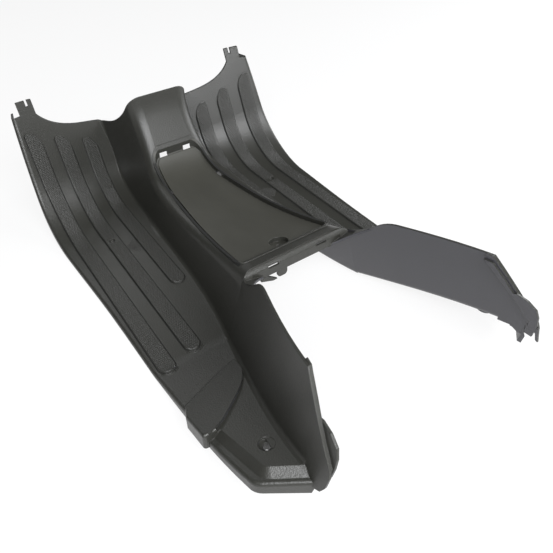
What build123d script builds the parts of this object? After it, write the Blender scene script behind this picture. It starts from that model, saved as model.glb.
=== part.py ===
"""Scooter floorboard: one thin-walled moulding with two foot wells, a saddle-shaped
centre tunnel that carries the seat of a service cover, and two raised rear wings.

Millimetres, +X to the rider's right, +Y to the front of the scooter, +Z up.
The origin is at the bottom centre of the finished part.
"""
import os
from math import atan, cos, degrees, radians, sin, tan

from build123d import *

os.makedirs("parts", exist_ok=True)

# wall and outline
wall = 2.8
skirt_depth = 5.0
floor_z = skirt_depth
half_width_front = 195.0
half_width_waist = 209.5
half_width_rear = 203.5
front_corner_y = 329.0
waist_y = 191.0
rear_corner_x = 195.0
rear_corner_y = -284.0
rear_edge_rake = 0.78
rear_corner_round = 18.0
edge_round = 4.0

# foot wells: flat floor, a bend that tightens towards the tunnel, a straight leg rest
inner_x = 52.0
outer_x = 225.0
bend_start_inner = 248.0
bend_radius_inner = 65.5
bend_start_outer = 152.0
bend_radius_outer = 134.0
leg_rest_angle = 67.0
leg_rest_top = 190.0
leg_rest_skirt = 18.0
corner_height = 150.0
crease_height = 104.0

# front tabs with their slots
tab_x = 174.0
tab_width = 23.0
tab_rise = 17.0
tab_slot_x = 170.8
tab_slot_width = 3.4
tab_slot_depth = 9.0

# raised tread strips in each well, outermost first
strip_x = 140.0
strip_pitch = 40.7
strip_width = 22.0
strip_height = 2.6
strip_skew = 0.86
strip_edge = 1.2
strip_front = (305.0, 309.4, 314.0)
strip_rear = (-98.0, -84.0, 31.0)

# passenger ramp behind the wells
ramp_start = -89.0
ramp_slope = 0.24
ramp_blend = 60.0
ramp_end = -345.0
ramp_skirt_extra = 24.0

# raised panel at the rear of the ramp and the low border round it
border_y = -212.0
border_width = 16.0
border_drop = 8.0
panel_corner_round = 12.0

# wedge-shaped pad in front of the panel, with a nose over the skirt
pad_tip_x = 121.0
pad_tip_y = -131.0
pad_front_y = -157.0
pad_slope = 0.08
pad_lip = 0.6
nose_x = 207.0
nose_depth = 18.0
nose_round = 3.5

# tunnel, from the rear lip to the front edge
lip_y = -94.0
lip_height = 94.0
lip_slope = 0.39
lip_round = 10.0
lip_flange_bottom = 72.0
dip_y = 126.0
dip_height = 54.0
bend_y = 241.0
bend_tilt = 26.4
bend_height = 79.8
turn_angle = 40.0
turn_tilt = 36.0
turn_height = 101.3
front_z = 93.0
front_tilt = 47.0
front_height = 98.6
lip_half = 105.0
dip_half = 77.5
bend_half = 70.0
front_half = 68.0
side_lean = 0.28
front_lean = 0.225
shoulder_round = 14.0
lip_shoulder_round = 24.0
crease_round = 9.0
foot_width = 16.0
foot_sink = 0.6

# seat of the service cover in the tunnel top
seat_rear_y = -68.0
seat_front_y = 219.0
seat_half_rear = 66.5
seat_half_front = 38.0
seat_depth = 3.0
seat_groove = 3.5
seat_groove_depth = 6.0
seat_bead = 3.5
seat_bead_rise = 1.0
seat_round_rear = 8.0
seat_round_front = 14.0
seat_taper = (seat_half_rear - seat_half_front) / (seat_front_y - seat_rear_y)

# rear wing walls
knee_y = -159.0
knee_half = 127.0
knee_lean = 0.25
peak_y = -267.0
peak_half = 155.0
peak_lean = 0.21
peak_height = 141.0
knee_height = 126.0
wing_start_height = 88.0
panel_end_y = -299.0
wing_step_y = -328.0
wing_step_height = 76.0
wing_heel_y = -329.5
wing_heel_height = 54.0
heel_tab_y = -316.0
end_y = -334.0
end_half = 165.0
end_lean = 0.23
end_step = 4.0
end_lap = 8.0
clip_inset = 1.8
web_tip_x = 48.0
web_end_y = -150.0

# screw points: floor holes on the middle strip, rear holes in the panel, cover screw in the tunnel
floor_hole_x = 143.4
floor_hole_y = 166.0
floor_hole = 5.5
floor_bore = 9.0
floor_bore_depth = 1.6
rear_hole_x = 162.5
rear_hole_y = -257.0
rear_hole = 8.4
rear_bore = 17.0
rear_bore_depth = 5.0
rear_tube = 14.0
rear_tube_length = 13.5
cover_hole_y = -52.0
cover_hole = 6.0
cover_pocket = 25.0
cover_pocket_depth = 7.0

# hook slots of the cover and of the lip flange
hook_slot = 13.0
hook_slot_x = 20.0
side_slot_y = 166.0
lip_slot_x = 36.0
lip_slot_z = 84.0
lip_slot = 15.0
lip_slot_height = 3.4
lip_step_z = 87.0
lip_step = 1.4
lip_flange_half = 66.0
lip_tab_x = -23.0
lip_tab_width = 14.0
lip_tab_drop = 10.0
beak_tip_x = -30.5
beak_root_x = -54.0
beak_drop = 11.0

ramp_angle = atan(ramp_slope)


def ramp_top(y):
    """Height of the passenger ramp at y."""
    return floor_z + ramp_slope * (ramp_start - y)


def side_plane(x):
    """Plane across the part at x, drawn with +Y to the right and +Z up."""
    return Plane(origin=(x, 0, 0), x_dir=(0, 1, 0), z_dir=(1, 0, 0))


def floor_band(x, bend_start, bend_radius, upper, lower, leg, skirt):
    """Side face of the floor between two depths; leg and skirt deepen the lower one at its ends."""
    rise = radians(leg_rest_angle)
    blend_y = ramp_start + ramp_blend * tan(ramp_angle / 2)
    with BuildSketch(side_plane(x), mode=Mode.PRIVATE) as face:
        with BuildLine():
            ends = []
            for depth, front, extra in ((upper, upper, 0.0), (lower, leg, skirt)):
                blend = ramp_blend + depth
                radius = bend_radius + depth
                bend = bend_start + (front - depth) / sin(rise)
                foot = (blend_y - blend * sin(ramp_angle), floor_z + ramp_blend - blend * cos(ramp_angle))
                rear = (ramp_end, foot[1] + ramp_slope * (foot[0] - ramp_end) - extra)
                knee = (bend + radius * sin(rise), floor_z + bend_radius - radius * cos(rise))
                run = leg_rest_top - knee[1] + floor_z - front * cos(rise)
                top = (knee[0] + run / tan(rise), knee[1] + run)
                Line(rear, foot)
                CenterArc((blend_y, floor_z + ramp_blend), blend, -90 - degrees(ramp_angle), degrees(ramp_angle))
                Line((blend_y, floor_z - depth), (bend, floor_z - depth))
                CenterArc((bend, floor_z + bend_radius), radius, -90, leg_rest_angle)
                Line(knee, top)
                ends.append((rear, top))
            Line(ends[0][0], ends[1][0])
            Line(ends[0][1], ends[1][1])
        make_face()
    return face.sketch


def floor_faces(upper, lower, leg, skirt):
    """Side faces of the floor at its inner and outer limits."""
    return [
        floor_band(inner_x, bend_start_inner, bend_radius_inner, upper, lower, leg, skirt),
        floor_band(outer_x, bend_start_outer, bend_radius_outer, upper, lower, leg, skirt),
    ]


def plan_outline(inset):
    """Right-hand half of the outline seen from above, drawn in by inset."""
    corner = (rear_corner_x - inset, rear_corner_y + inset)
    inner = (130, corner[1] - rear_edge_rake * (corner[0] - 130))
    with BuildSketch(Plane.XY.offset(-60), mode=Mode.PRIVATE) as outline:
        with BuildLine():
            tip = (half_width_front - inset - 7, front_corner_y + 23)
            Spline(
                tip,
                (half_width_front - inset, front_corner_y),
                (half_width_waist - inset - 1.8, waist_y + 70),
                (half_width_waist - inset, waist_y),
                (half_width_waist - inset - 4.5, 57),
                (half_width_rear - inset, -160),
                (half_width_rear - inset - 3, border_y - 25),
                corner,
            )
            Polyline(corner, inner, (inner_x, -340), (inner_x, tip[1]), tip)
        make_face()
        fillet(outline.vertices().sort_by_distance((*corner, 0))[0], rear_corner_round - inset)
    return outline.sketch


def panel_outline(inset):
    """Rear panel drawn on the ramp, in from the outer edge by the border and inset."""
    width = border_width + inset
    corner = (rear_corner_x - width, rear_corner_y + 0.4 * width)
    points = [
        (110, border_y + 20),
        (half_width_rear - width + 2, border_y + 20),
        corner,
        (125, corner[1] - rear_edge_rake * (corner[0] - 125)),
        (110, corner[1] - rear_edge_rake * (corner[0] - 125)),
    ]
    plane = Plane(origin=(0, ramp_start, floor_z), x_dir=(1, 0, 0), z_dir=(0, ramp_slope, 1))
    with BuildSketch(plane.offset(-inset), mode=Mode.PRIVATE) as outline:
        with BuildLine():
            Polyline([(x, (y - ramp_start) / cos(ramp_angle)) for x, y in points], close=True)
        make_face()
        fillet(outline.vertices().group_by(Axis.X)[-2], panel_corner_round)
    return outline.sketch


def tilted(y, z, tilt):
    """Section plane across the tunnel at y, leaning back by tilt degrees."""
    back = radians(tilt)
    return Plane(origin=(0, y, z), x_dir=(1, 0, 0), z_dir=(0, -cos(back), -sin(back)))


def well_bend(x):
    """Start and radius of the well bend at x."""
    part = (x - inner_x) / (outer_x - inner_x)
    start = bend_start_inner + part * (bend_start_outer - bend_start_inner)
    return start, bend_radius_inner + part * (bend_radius_outer - bend_radius_inner)


def stations():
    """Section planes along the tunnel with half width, lean, height and shoulder round."""
    rows = []
    for part in (0.0, 0.12, 0.28, 0.5, 0.75, 1.0):
        back = 1 - part
        half = dip_half + (lip_half - dip_half) * (0.4 * back + 0.6 * back ** 3)
        height = dip_height + (lip_height - dip_height) * back ** 2
        shoulder = shoulder_round + (lip_shoulder_round - shoulder_round) * back ** 3
        rows.append((tilted(lip_y + part * (dip_y - lip_y), floor_z, 0), half, side_lean, height, shoulder))
    near = tilted(dip_y + 0.46 * (bend_y - dip_y), floor_z, 0)
    rows.append((near, 0.45 * dip_half + 0.55 * bend_half, side_lean, dip_height + 3.5, shoulder_round))
    bend = tilted(bend_y, floor_z, bend_tilt)
    rows.append((bend, bend_half, 0.5 * (side_lean + front_lean), bend_height, shoulder_round + 3))
    start, radius = well_bend(front_half)
    turn = radians(turn_angle)
    plane = tilted(start + radius * sin(turn), floor_z + radius * (1 - cos(turn)), turn_tilt)
    rows.append((plane, front_half, front_lean, turn_height, shoulder_round + 5))
    rise = radians(leg_rest_angle)
    for up in (front_z, front_z + 29):
        run = (up - radius * (1 - cos(rise))) / tan(rise)
        plane = tilted(start + radius * sin(rise) + run, floor_z + up, front_tilt)
        rows.append((plane, front_half, front_lean, front_height, shoulder_round + 6))
    return rows


def tunnel_faces(inset, drop):
    """Faces along the tunnel drawn in by inset, rounded at the shoulder and flared into the floor."""
    faces = []
    for plane, half, lean, height, radius in stations():
        side = half - inset * (1 + lean * lean) ** 0.5
        sink = inset + foot_sink
        top = height - inset
        base = side + lean * sink
        toe = half + foot_width + inset
        right = [(toe, -drop), (toe, -sink), (base, -sink), (side - lean * top, top)]
        with BuildSketch(plane, mode=Mode.PRIVATE) as face:
            with BuildLine():
                Polyline(right + [(-x, y) for x, y in reversed(right)], close=True)
            make_face()
            fillet(face.vertices().filter_by(lambda v: v.Y > top - 1), radius - inset)
            fillet(face.vertices().filter_by(lambda v: abs(abs(v.X) - base) < 0.1), crease_round + inset)
        faces.append(face.sketch)
    return faces


def seat_band(low, high):
    """Side face between two levels measured from the tunnel top, from behind the lip to the front."""
    with BuildSketch(side_plane(0), mode=Mode.PRIVATE) as face:
        with BuildLine():
            edges = []
            for level in (low, high):
                points = []
                for plane, half, lean, height, radius in stations():
                    top = plane.origin + plane.y_dir * (height + level)
                    points.append((top.Y, top.Z))
                edges.append(Spline(points))
            Line(edges[0] @ 0, edges[1] @ 0)
            Line(edges[0] @ 1, edges[1] @ 1)
        make_face()
    return face.sketch


def seat_outline(grow):
    """Outline of the cover seat seen from above, let out by grow."""
    with BuildSketch(Plane.XY.offset(-60), mode=Mode.PRIVATE) as outline:
        with BuildLine():
            Polyline(
                (-seat_half_rear - grow, seat_rear_y - grow),
                (seat_half_rear + grow, seat_rear_y - grow),
                (seat_half_front + grow, seat_front_y + grow),
                (-seat_half_front - grow, seat_front_y + grow),
                close=True,
            )
        make_face()
        fillet(outline.vertices().filter_by(lambda v: v.Y < 0), seat_round_rear + grow)
        fillet(outline.vertices().sort_by(Axis.Y)[-2:], seat_round_front + grow)
    return outline.sketch


def wall_faces(inset, foot):
    """Faces between the wing walls from the lip to the wing ends, drawn in by inset, on a foot or plain."""
    faces = []
    low = -40.0
    high = 210.0
    for y, half, lean in (
        (lip_y, lip_half, side_lean),
        (knee_y, knee_half, knee_lean),
        (peak_y, peak_half, peak_lean),
        (end_y - 8, end_half, end_lean),
    ):
        side = half - inset * (1 + lean * lean) ** 0.5
        base_z = ramp_top(y) - floor_z - inset - foot_sink
        base = side - lean * base_z
        right = [(side - lean * low, low)]
        if foot:
            right = [(base + foot_width, low), (base + foot_width, base_z), (base, base_z)]
        right += [(side - lean * high, high)]
        with BuildSketch(tilted(y, floor_z, 0), mode=Mode.PRIVATE) as face:
            with BuildLine():
                Polyline(right + [(-x, z) for x, z in reversed(right)], close=True)
            make_face()
            if foot:
                fillet(face.vertices().filter_by(lambda v: abs(abs(v.X) - base) < 0.1), crease_round + inset)
        faces.append(face.sketch)
    return faces


# raised tread strips, cut from a thin layer over the right-hand floor
squash = cos(radians(leg_rest_angle))
with BuildPart() as strips:
    loft(floor_faces(-strip_height, 1, 1, 0), ruled=True)
    with BuildSketch(Plane.XY.offset(-60)) as strip_plan:
        for k in range(3):
            tip = strip_front[k] - strip_width / 2 * squash
            length = tip - strip_rear[k] - strip_width / 2
            with Locations(Location((strip_x + (1 - k) * strip_pitch, tip, 0), (0, 0, strip_skew))):
                Rectangle(strip_width, length, align=(Align.CENTER, Align.MAX))
                Ellipse(strip_width / 2, strip_width / 2 * squash)
                with Locations((0, -length)):
                    Circle(strip_width / 2)
    extrude(strip_plan.sketch, amount=320, mode=Mode.INTERSECT)
    flats = strips.faces().filter_by(lambda f: f.normal_at().Z > 0.2).edges()
    flanks = strips.faces().filter_by(lambda f: abs(f.normal_at().Z) < 0.05).edges()
    chamfer([e for e in flanks if any(e.is_same(f) for f in flats)], strip_edge)

# right-hand floor as deep as the skirt, cut to the outline, to the front edge and to the border
with BuildPart() as deck:
    loft(floor_faces(0, skirt_depth, leg_rest_skirt, ramp_skirt_extra), ruled=True)
    extrude(plan_outline(0), amount=320, mode=Mode.INTERSECT)
    flank = deck.faces().sort_by(Axis.X)[-1]
    walked = deck.faces().filter_by(lambda f: f.normal_at().Z > 0.2).edges()
    rim = flank.edges().filter_by(lambda e: e.center().Z < leg_rest_top)
    fillet([e for e in rim if any(e.is_same(w) for w in walked)], edge_round)
    split(bisect_by=Plane.XZ.offset(-border_y), keep=Keep.BOTTOM)
    with BuildSketch(Plane.XZ.offset(-400)) as front_edge:
        with BuildLine():
            tab_in = tab_x - tab_width / 2
            tab_out = tab_x + tab_width / 2
            slot_in = tab_slot_x - tab_slot_width / 2
            slot_out = tab_slot_x + tab_slot_width / 2
            top = floor_z + corner_height
            tab_top = top + tab_rise
            Polyline(
                (tab_in, top - 4),
                (tab_in, tab_top - 2),
                (slot_in, tab_top - 1),
                (slot_in, tab_top - tab_slot_depth),
                (slot_out, tab_top - tab_slot_depth),
                (slot_out, tab_top - 1),
                (tab_out, tab_top),
                (tab_out, top),
                (outer_x, top),
                (outer_x, -20),
                (inner_x, -20),
                (inner_x, floor_z + crease_height - 6),
            )
            Spline(
                (inner_x, floor_z + crease_height - 6),
                (70, floor_z + crease_height + 1),
                (100, floor_z + crease_height + 8),
                (146, floor_z + crease_height + 26),
                (tab_in, top - 4),
            )
        make_face()
    extrude(front_edge.sketch, amount=800, mode=Mode.INTERSECT)

# low border round the rear panel, and the panel itself with its bevel
with BuildPart() as border:
    low = border_drop + 2
    loft(floor_faces(border_drop, low, low, ramp_skirt_extra + skirt_depth - low), ruled=True)
    extrude(plan_outline(0), amount=320, mode=Mode.INTERSECT)
    split(bisect_by=Plane.XZ.offset(-border_y), keep=Keep.TOP)
    ledge = border.faces().filter_by(lambda f: f.normal_at().Z > 0.9).sort_by(Axis.Z)[-1]
    rim = ledge.edges().filter_by(lambda e: e.center().X > 134 and e.center().Y < border_y - 12)
    fillet(rim, edge_round)

with BuildPart() as panel:
    extrude(panel_outline(0), amount=-border_drop - 4, taper=-45)
    extrude(plan_outline(0), amount=320, mode=Mode.INTERSECT)

# wedge pad over the ramp and its nose outside the skirt
pad_line = Vector(half_width_rear - 8 - 142, pad_front_y + 136, ramp_top(pad_front_y) - ramp_top(-136))
ramp_normal = Vector(0, ramp_slope, 1)
pad_origin = (half_width_rear - 8, pad_front_y, ramp_top(pad_front_y))
pad_plane = Plane(origin=pad_origin, x_dir=pad_line.cross(ramp_normal), z_dir=-pad_line)
with BuildPart() as pad:
    with BuildSketch(pad_plane) as wedge:
        with BuildLine():
            Polyline((0, -1.5), (0, pad_lip), (80, pad_lip + 80 * pad_slope), (80, -1.5), close=True)
        make_face()
    extrude(wedge.sketch, amount=120, both=True)
    with BuildSketch(Plane.XY.offset(-60)) as pad_plan:
        with BuildLine():
            tip = (pad_tip_x, pad_tip_y)
            heel = (half_width_rear - 3, border_y)
            Polyline(heel, (heel[0], pad_front_y), (pad_tip_x + 21, pad_tip_y - 5), tip)
            Spline(tip, (pad_tip_x + 4, -156), (162, -192), (188, -208), heel)
        make_face()
    extrude(pad_plan.sketch, amount=320, mode=Mode.INTERSECT)

with BuildPart() as nose:
    with BuildSketch(pad_plane) as nose_side:
        with BuildLine():
            rise = pad_lip + 80 * pad_slope
            Polyline((0, -nose_depth), (0, pad_lip), (80, rise), (80, -nose_depth), close=True)
        make_face()
    extrude(nose_side.sketch, amount=120, both=True)
    with BuildSketch(Plane.XY.offset(-60)) as nose_plan:
        with BuildLine():
            Polyline(
                (half_width_rear - 12, border_y),
                (half_width_rear - 12, pad_front_y),
                (half_width_rear - 4, pad_front_y),
                (nose_x, pad_front_y - 17),
                (nose_x, border_y),
                close=True,
            )
        make_face()
        fillet(nose_plan.vertices().filter_by(lambda v: v.X > nose_x - 1), nose_round)
    extrude(nose_plan.sketch, amount=320, mode=Mode.INTERSECT)
    crown = nose.faces().filter_by(lambda f: f.normal_at().Z > 0.9)
    fillet(crown.edges().filter_by(lambda e: e.center().X > half_width_rear), nose_round - 0.5)

# room under the right-hand floor, inside the skirt and one wall below every surface above it
with BuildPart() as under:
    loft(floor_faces(wall, 70, 70, 0), ruled=True)
    extrude(plan_outline(wall), amount=320, mode=Mode.INTERSECT)
    split(bisect_by=Plane.XZ.offset(-border_y - wall), keep=Keep.BOTTOM)

with BuildPart() as under_border:
    loft(floor_faces(border_drop + wall, 70, 70, 0), ruled=True)
    extrude(plan_outline(wall), amount=320, mode=Mode.INTERSECT)
    split(bisect_by=Plane.XZ.offset(-border_y - 30), keep=Keep.TOP)

with BuildPart() as under_panel:
    extrude(panel_outline(wall), amount=-border_drop - 4, taper=-45)
    extrude(plan_outline(wall), amount=320, mode=Mode.INTERSECT)

# tunnel outside, trimmed to the rolled rear lip and to the sweep of the front edge
roll_z = floor_z + lip_height - lip_round * (lip_slope + (1 + lip_slope ** 2) ** 0.5)
roll_turn = degrees(atan(lip_slope))
with BuildPart() as tunnel:
    loft(tunnel_faces(0, 15))
    with BuildSketch(side_plane(0)) as profile:
        with BuildLine():
            roll = CenterArc((lip_y + lip_round, roll_z), lip_round, 180, roll_turn - 90)
            start = roll @ 1
            sweep_z = floor_z + crease_height
            Polyline((start.X, start.Y), (start.X, 300), (163, 300), (268, floor_z + 141))
            TangentArc((268, floor_z + 141), (332, sweep_z), tangent=(105, -144))
            Polyline((332, sweep_z), (420, sweep_z - 2), (420, -80), (lip_y, -80), (lip_y, roll_z))
        make_face()
    extrude(profile.sketch, amount=300, both=True, mode=Mode.INTERSECT)

# room inside the tunnel, closed by the lip flange and open below it
with BuildPart() as tunnel_room:
    loft(tunnel_faces(wall, 25))
    with BuildSketch(side_plane(0)) as room_profile:
        with BuildLine():
            flange_face = lip_y + lip_step + wall
            Polyline(
                (lip_y - 10, -80),
                (lip_y - 10, floor_z + lip_flange_bottom),
                (flange_face, floor_z + lip_flange_bottom),
                (flange_face, roll_z + 0.3 * lip_round),
                (flange_face + 2 * lip_round, roll_z + 3.2 * lip_round),
                (flange_face + 2 * lip_round, 300),
                (450, 300),
                (450, -80),
                close=True,
            )
        make_face()
    extrude(room_profile.sketch, amount=300, both=True, mode=Mode.INTERSECT)

# space between the wing walls, open to the rear
with BuildPart() as gap:
    loft(wall_faces(wall, True))
    split(bisect_by=Plane.XZ.offset(-rear_corner_y), keep=Keep.BOTTOM)

with BuildPart() as gap_end:
    loft(wall_faces(wall, False))

# wing walls up to their swept top edge and back to the step line of the end flange,
# on a foot as far as the panel reaches and as a plain heel into the rim behind it
step_point = (wing_step_y, floor_z + wing_step_height)
with BuildPart() as wings:
    loft(wall_faces(0, True))
    split(bisect_by=Plane.XZ.offset(-panel_end_y), keep=Keep.BOTTOM)
    with BuildSketch(side_plane(0)) as wing_profile:
        with BuildLine():
            start = (lip_y, floor_z + wing_start_height)
            knee = (knee_y, floor_z + knee_height)
            peak = (peak_y, floor_z + peak_height)
            Spline(
                start,
                ((start[0] + knee[0]) / 2, (start[1] + knee[1]) / 2),
                knee,
                tangents=((-1, 0.1), (-1, 0.12)),
            )
            foot_z = ramp_top(wing_step_y) - wall / 2
            Polyline(knee, peak, step_point, (wing_step_y, foot_z), (lip_y, floor_z - wall / 2), start)
        make_face()
    extrude(wing_profile.sketch, amount=300, both=True, mode=Mode.INTERSECT)

with BuildPart() as heels:
    loft(wall_faces(0, False))
    split(bisect_by=Plane.XZ.offset(-panel_end_y), keep=Keep.TOP)
    with BuildSketch(side_plane(0)) as heel_profile:
        with BuildLine():
            heel_z = floor_z + wing_heel_height
            Polyline(
                (peak_y, floor_z + peak_height),
                step_point,
                (wing_step_y - 2.5, floor_z + wing_step_height - 8),
                (wing_heel_y, heel_z),
                (wing_heel_y + 4, heel_z - 9),
                (wing_heel_y + 13, heel_z - 15),
                (panel_end_y + 1, heel_z - 19),
                (peak_y, heel_z - 19),
                close=True,
            )
        make_face()
    extrude(heel_profile.sketch, amount=300, both=True, mode=Mode.INTERSECT)
    for cut_y, cut_z in ((heel_tab_y, floor_z + 62), (peak_y, floor_z + 46)):
        with Locations((0, cut_y, cut_z)):
            Box(300, 90, 60, align=(Align.MIN, Align.MAX, Align.MAX), mode=Mode.SUBTRACT)

# webs in the corners between the lip flange and the wing walls
web_root = Vector(lip_half - side_lean * 82 - wall / 2, lip_y + lip_step + 1, floor_z + 82)
web_tip = Vector(web_tip_x, lip_y + lip_step + 1, floor_z + lip_flange_bottom + 2)
web_end = Vector(92, web_end_y, floor_z + 121)
with BuildPart() as webs:
    web_normal = (web_tip - web_root).cross(web_end - web_root)
    web_plane = Plane(origin=web_root, x_dir=web_tip - web_root, z_dir=web_normal)
    with BuildSketch(web_plane) as web:
        with BuildLine():
            tip = web_plane.to_local_coords(web_tip)
            end = web_plane.to_local_coords(web_end)
            hollow = (tip + end) * 0.3
            Line((0, 0), (tip.X, tip.Y))
            ThreePointArc((tip.X, tip.Y), (hollow.X, hollow.Y), (end.X, end.Y))
            Line((end.X, end.Y), (0, 0))
        make_face()
    extrude(web.sketch, amount=-wall)
    mirror(about=Plane.YZ)

# set-in flange behind each wing wall and the rib that joins it to the wall along the step line
with BuildPart() as ends:
    loft(wall_faces(end_step, False))
    loft(wall_faces(end_step + wall, False), mode=Mode.SUBTRACT)
    with BuildSketch(side_plane(0)) as end_profile:
        with BuildLine():
            Polyline(
                (peak_y + end_lap, floor_z + peak_height - 8),
                (peak_y - 2, floor_z + peak_height - 8),
                (-285, floor_z + 117),
                (-296, floor_z + 104.5),
                (-300, floor_z + 106),
                (-313, floor_z + 104.5),
                (-324.5, floor_z + 98),
                (-328.5, floor_z + 88),
                (-329.5, floor_z + 76),
                (-328.5, floor_z + 64),
                (wing_step_y + end_lap, floor_z + 66),
                (wing_step_y + end_lap, floor_z + wing_step_height),
                close=True,
            )
        make_face()
    extrude(end_profile.sketch, amount=300, both=True, mode=Mode.INTERSECT)

with BuildPart() as end_ribs:
    loft(wall_faces(wall - 0.6, False))
    loft(wall_faces(end_step + 0.6, False), mode=Mode.SUBTRACT)
    with BuildSketch(side_plane(0)) as rib_profile:
        with BuildLine():
            Polyline(
                (peak_y, floor_z + peak_height),
                step_point,
                (wing_step_y, floor_z + wing_step_height - end_lap),
                (wing_step_y + end_lap, floor_z + wing_step_height - end_lap),
                (peak_y + end_lap, floor_z + peak_height - end_lap),
                (peak_y + end_lap, floor_z + peak_height),
                close=True,
            )
        make_face()
    extrude(rib_profile.sketch, amount=300, both=True, mode=Mode.INTERSECT)

# right-hand wing only: foot tab and prong of the clip
with BuildPart() as clip:
    loft(wall_faces(clip_inset, False))
    loft(wall_faces(clip_inset + wall, False), mode=Mode.SUBTRACT)
    with BuildSketch(side_plane(0)) as clip_profile:
        with BuildLine():
            Polyline(
                (-320, floor_z + 70),
                (-331, floor_z + 70),
                (-334, floor_z + 48),
                (-331, floor_z + 50),
                (-329, floor_z + 60),
                (-327, floor_z + 62),
                (-326, floor_z + 51),
                (-317, floor_z + 51),
                (-317, floor_z + 64),
                close=True,
            )
        make_face()
    extrude(clip_profile.sketch, amount=300, mode=Mode.INTERSECT)

# seat of the service cover: a sunk panel with a groove round it and a bead round the groove
with BuildPart() as seat_block:
    extrude(seat_band(-seat_groove_depth - wall, -0.8), amount=lip_half, both=True)
    extrude(seat_outline(wall), amount=320, mode=Mode.INTERSECT)

with BuildPart() as seat_rim:
    extrude(seat_band(-1.5, seat_bead_rise), amount=lip_half, both=True)
    extrude(seat_outline(seat_bead), amount=320, mode=Mode.INTERSECT)

with BuildPart() as seat_recess:
    extrude(seat_band(-seat_depth, 25), amount=lip_half, both=True)
    extrude(seat_outline(0), amount=320, mode=Mode.INTERSECT)

with BuildPart() as seat_channel:
    extrude(seat_band(-seat_groove_depth, 0), amount=lip_half, both=True)
    extrude(seat_outline(0), amount=320, mode=Mode.INTERSECT)
    extrude(seat_outline(-seat_groove), amount=320, mode=Mode.SUBTRACT)

with BuildPart() as seat_relief:
    extrude(seat_band(-30, -seat_depth - wall), amount=lip_half, both=True)
    extrude(seat_outline(-seat_groove - wall), amount=320, mode=Mode.INTERSECT)

# sunk pocket for the cover screw
with BuildPart() as pocket_cup:
    extrude(seat_band(-seat_depth - cover_pocket_depth - wall, -seat_depth - 0.6), amount=lip_half, both=True)
    with BuildSketch(Plane.XY) as cup_plan:
        with Locations((0, cover_hole_y)):
            Circle(cover_pocket / 2 + wall)
    extrude(cup_plan.sketch, amount=320, mode=Mode.INTERSECT)

with BuildPart() as pocket:
    extrude(seat_band(-seat_depth - cover_pocket_depth, 15), amount=lip_half, both=True)
    with BuildSketch(Plane.XY) as pocket_plan:
        with Locations((0, cover_hole_y)):
            Circle(cover_pocket / 2)
    extrude(pocket_plan.sketch, amount=320, mode=Mode.INTERSECT)

# slots for the hooks of the cover, through the groove and the riser beside it
with BuildPart() as hook_slots:
    extrude(seat_band(-seat_groove_depth - wall - 1, -seat_depth + 0.5), amount=lip_half, both=True)
    with BuildSketch(Plane.XY.offset(-60)) as slot_plan:
        seat_half_slot = seat_half_rear - (side_slot_y - seat_rear_y) * seat_taper
        slot_reach = seat_groove + wall + 1
        for side in (1, -1):
            with Locations((side * hook_slot_x, seat_front_y - seat_groove)):
                Rectangle(hook_slot, slot_reach, align=(Align.CENTER, Align.MIN))
            with Locations((side * (seat_half_slot - seat_groove + slot_reach / 2), side_slot_y)):
                Rectangle(slot_reach, hook_slot)
    extrude(slot_plan.sketch, amount=320, mode=Mode.INTERSECT)

# tunnel shell with the cover seat, the hook slots and the stepped lip flange
with BuildPart() as hump:
    add(tunnel.part)
    add(tunnel_room.part, mode=Mode.SUBTRACT)
    add(under.part, mode=Mode.SUBTRACT)
    mirror(under.part, about=Plane.YZ, mode=Mode.SUBTRACT)
    add(seat_block.part)
    add(seat_rim.part)
    add(seat_relief.part, mode=Mode.SUBTRACT)
    add(pocket_cup.part)
    add(seat_recess.part, mode=Mode.SUBTRACT)
    add(seat_channel.part, mode=Mode.SUBTRACT)
    add(pocket.part, mode=Mode.SUBTRACT)
    with Locations((0, cover_hole_y, floor_z + lip_height)):
        Hole(cover_hole / 2, depth=60)
    add(hook_slots.part, mode=Mode.SUBTRACT)
    with Locations((0, lip_y + lip_step, floor_z + lip_step_z)):
        Box(2 * lip_flange_half, 20, 60, align=(Align.CENTER, Align.MAX, Align.MAX), mode=Mode.SUBTRACT)
    with Locations((lip_slot_x, lip_y, floor_z + lip_slot_z), (-lip_slot_x, lip_y, floor_z + lip_slot_z)):
        Box(lip_slot, 4 * wall, lip_slot_height, mode=Mode.SUBTRACT)
    with BuildSketch(Plane.XZ.offset(-lip_y - lip_step)) as lip_tab:
        with Locations((lip_tab_x, floor_z + lip_flange_bottom + 2)):
            Rectangle(lip_tab_width, lip_tab_drop + 2, align=(Align.CENTER, Align.MAX))
        fillet(lip_tab.vertices().sort_by(Axis.Y)[:2], lip_tab_width / 3)
    extrude(lip_tab.sketch, amount=-wall)
    with BuildSketch(Plane.XZ.offset(-lip_y - lip_step)) as beak:
        with BuildLine():
            beak_top = floor_z + lip_flange_bottom + 2
            Polyline(
                (beak_root_x, beak_top),
                (beak_root_x + 6, beak_top),
                (beak_tip_x, beak_top - beak_drop - 2),
                (beak_tip_x - 6, beak_top - beak_drop - 2.5),
                (beak_root_x, beak_top - beak_drop + 4),
                close=True,
            )
        make_face()
    extrude(beak.sketch, amount=-wall)

# bolt cup under the rear panel
with BuildPart() as rear_cup:
    with BuildSketch(Plane.XY.offset(ramp_top(rear_hole_y) - rear_bore_depth - wall)) as cup:
        with Locations((rear_hole_x, rear_hole_y)):
            Circle(rear_bore / 2 + wall)
    extrude(cup.sketch, amount=30)
    with BuildSketch(Plane.XY.offset(ramp_top(rear_hole_y) - rear_bore_depth)) as tube:
        with Locations((rear_hole_x, rear_hole_y)):
            Circle(rear_tube / 2)
    extrude(tube.sketch, amount=-rear_tube_length)
    ramp_plane = Plane(origin=(0, ramp_start, floor_z), x_dir=(1, 0, 0), z_dir=(0, ramp_slope, 1))
    split(bisect_by=ramp_plane.offset(-0.6), keep=Keep.BOTTOM)

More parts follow.
